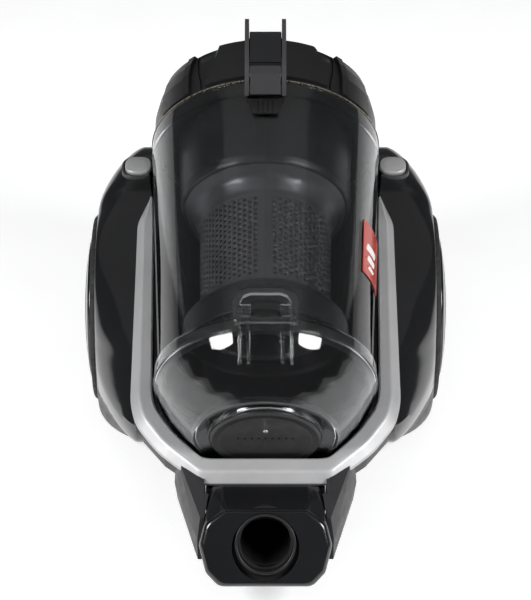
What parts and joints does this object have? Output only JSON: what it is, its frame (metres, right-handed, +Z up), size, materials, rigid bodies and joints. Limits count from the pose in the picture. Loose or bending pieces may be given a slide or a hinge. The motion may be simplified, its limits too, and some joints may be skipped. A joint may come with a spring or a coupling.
{
  "type": "canister vacuum cleaner",
  "caption": "Compact bagless canister vacuum cleaner with a reclined clear dust bin, perforated separator, carry handle, large side wheels, foot pedals and a front hose socket.",
  "frame": {"origin": "on the floor, under the middle of the whole machine", "axes": "+Z up, -Y out of the hose socket at the front, +X to the right seen from the front"},
  "size_m": [0.2904, 0.4072, 0.3304],
  "materials": {
    "gloss_black": "glossy moulded black shell",
    "satin_black": "satin moulded black",
    "dark_grey": "satin dark grey, fine grain",
    "mid_grey": "satin mid grey",
    "silver": "satin silver paint with fine flake",
    "smoked_clear": "clear lightly smoked polycarbonate",
    "rubber": "matte black rubber",
    "steel": "turned steel",
    "motor_metal": "pressed and cast aluminium",
    "board": "green solder mask",
    "filter": "pleated off-white felt",
    "badge_red": "printed red label, clear-coated"
  },
  "bodies": {
    "root": {"lower_base": "dark_grey", "base_screw_1": "steel", "base_screw_2": "steel", "right_fender": "gloss_black", "left_fender": "gloss_black", "cradle": "satin_black", "trim_frame": "silver", "front_cowl": "satin_black", "rear_housing": "gloss_black", "nose_block": "gloss_black", "hose_socket": "satin_black", "socket_seal": "rubber", "right_wing": "dark_grey", "left_wing": "dark_grey", "inlet_duct": "satin_black", "duct_seal": "rubber", "motor_casing": "motor_metal", "motor_front_mount": "rubber", "motor_rear_mount": "rubber", "reel_spindle": "steel", "control_board": "board", "power_switch": "satin_black", "exhaust_filter": "filter", "cord_gland": "rubber", "right_axle": "steel", "left_axle": "steel", "power_spring": "steel", "rewind_spring": "steel"},
    "bin": {"bin_cylinder": "smoked_clear", "rim_ring": "silver", "bin_lid": "smoked_clear", "end_plate": "satin_black", "lid_seal": "rubber", "badge": "badge_red", "latch_catch": "satin_black"},
    "lid_clip_body": {"lid_clip": "smoked_clear"},
    "head": {"head_cover": "satin_black", "separator_collar": "satin_black", "mesh_grille": "dark_grey", "separator_skirt": "satin_black", "pre_motor_filter": "filter", "handle_frame": "mid_grey", "grip_cover": "gloss_black", "latch_pin": "steel", "latch_spring": "steel"},
    "latch": {"latch_lever": "dark_grey"},
    "power_pedal": {"power_button": "silver"},
    "rewind_pedal": {"rewind_button": "silver"},
    "right_wheel_body": {"right_tyre": "rubber", "right_wheel": "dark_grey", "right_hub_cap": "gloss_black"},
    "left_wheel_body": {"left_tyre": "rubber", "left_wheel": "dark_grey", "left_hub_cap": "gloss_black"},
    "caster": {"caster_fork": "satin_black", "caster_axle": "steel"},
    "caster_roller": {"caster_wheel": "rubber"},
    "reel": {"cord_reel": "satin_black"},
    "fan": {"impeller": "motor_metal"},
    "grille": {"exhaust_grille": "satin_black"}
  },
  "joints": [
    {"name": "bin_lift", "type": "slide", "parent": "root", "child": "bin", "axis": [0, -0.3746, 0.9272], "range_m": [0, 0.12]},
    {"name": "head_pull", "type": "slide", "parent": "bin", "child": "head", "axis": [0, 0.9272, 0.3746], "range_m": [0, 0.2]},
    {"name": "latch_tilt", "type": "hinge", "parent": "head", "child": "latch", "pos_m": [0, 0.07316, 0.30429], "axis": [1, 0, 0], "range_deg": [-12, 0], "stiffness_Nm_per_rad": 0.2, "springref_deg": 5.73, "deforming": ["latch_spring"]},
    {"name": "clip_lift", "type": "hinge", "parent": "bin", "child": "lid_clip_body", "pos_m": [0, -0.11009, 0.21062], "axis": [1, 0, 0], "range_deg": [0, 20], "stiffness_Nm_per_rad": 0.1, "springref_deg": -11.46},
    {"name": "power_press", "type": "slide", "parent": "root", "child": "power_pedal", "axis": [0, 0.1392, -0.9903], "range_m": [0, 0.004], "stiffness_N_per_m": 500, "springref_m": -0.003, "deforming": ["power_spring"]},
    {"name": "rewind_press", "type": "slide", "parent": "root", "child": "rewind_pedal", "axis": [0, 0.1392, -0.9903], "range_m": [0, 0.004], "stiffness_N_per_m": 500, "springref_m": -0.003, "deforming": ["rewind_spring"]},
    {"name": "right_wheel_spin", "type": "hinge", "parent": "root", "child": "right_wheel_body", "pos_m": [0.128, 0.092, 0.075], "axis": [1, 0, 0], "continuous": true},
    {"name": "left_wheel_spin", "type": "hinge", "parent": "root", "child": "left_wheel_body", "pos_m": [-0.128, 0.092, 0.075], "axis": [1, 0, 0], "continuous": true},
    {"name": "caster_swivel", "type": "hinge", "parent": "root", "child": "caster", "pos_m": [0, -0.122, 0.03], "axis": [0, 0, 1], "continuous": true},
    {"name": "caster_spin", "type": "hinge", "parent": "caster", "child": "caster_roller", "pos_m": [0, -0.113, 0.013], "axis": [1, 0, 0], "continuous": true},
    {"name": "reel_spin", "type": "hinge", "parent": "root", "child": "reel", "pos_m": [0, 0.051, 0.03], "axis": [0, 0, 1], "continuous": true},
    {"name": "fan_spin", "type": "hinge", "parent": "root", "child": "fan", "pos_m": [0, 0.12, 0.062], "axis": [0, 1, 0], "continuous": true},
    {"name": "grille_open", "type": "hinge", "parent": "root", "child": "grille", "pos_m": [0, 0.1972, 0.122], "axis": [1, 0, 0], "range_deg": [0, 100]}
  ]
}
